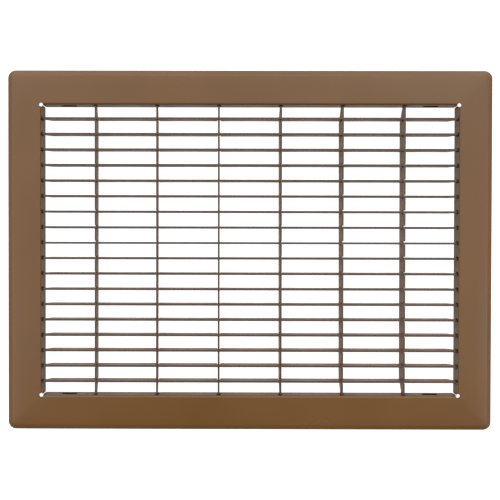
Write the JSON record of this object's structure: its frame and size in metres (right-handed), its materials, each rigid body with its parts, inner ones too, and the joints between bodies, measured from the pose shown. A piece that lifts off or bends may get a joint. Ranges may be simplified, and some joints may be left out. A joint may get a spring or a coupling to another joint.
{
  "type": "return air grille",
  "caption": "Rectangular floor return air grille: pressed face frame with a bevelled rim and a collar, and a half-lapped lattice of fins and cross bars on edge.",
  "frame": {"origin": "centre of the grille in plan, at the height of the cross bars' lower edges", "axes": "+Z out of the visible face, which looks up when the grille lies in a floor; +X along the long side and the fins; +Y along the short side and the cross bars, towards the top of the picture"},
  "size_m": [0.396, 0.294, 0.0199],
  "materials": {
    "frame_paint": "smooth semi-gloss brown powder coat",
    "fin_paint": "smooth semi-gloss brown powder coat",
    "bar_paint": "smooth semi-gloss brown powder coat"
  },
  "bodies": {
    "root": {"face_frame": "frame_paint", "fin_01": "fin_paint", "fin_02": "fin_paint", "fin_03": "fin_paint", "fin_04": "fin_paint", "fin_05": "fin_paint", "fin_06": "fin_paint", "fin_07": "fin_paint", "fin_08": "fin_paint", "fin_09": "fin_paint", "fin_10": "fin_paint", "fin_11": "fin_paint", "fin_12": "fin_paint", "fin_13": "fin_paint", "fin_14": "fin_paint", "fin_15": "fin_paint", "fin_16": "fin_paint", "fin_17": "fin_paint", "fin_18": "fin_paint", "cross_bar_1": "bar_paint", "cross_bar_2": "bar_paint", "cross_bar_3": "bar_paint", "cross_bar_4": "bar_paint", "cross_bar_5": "bar_paint", "cross_bar_6": "bar_paint"}
  },
  "joints": []
}
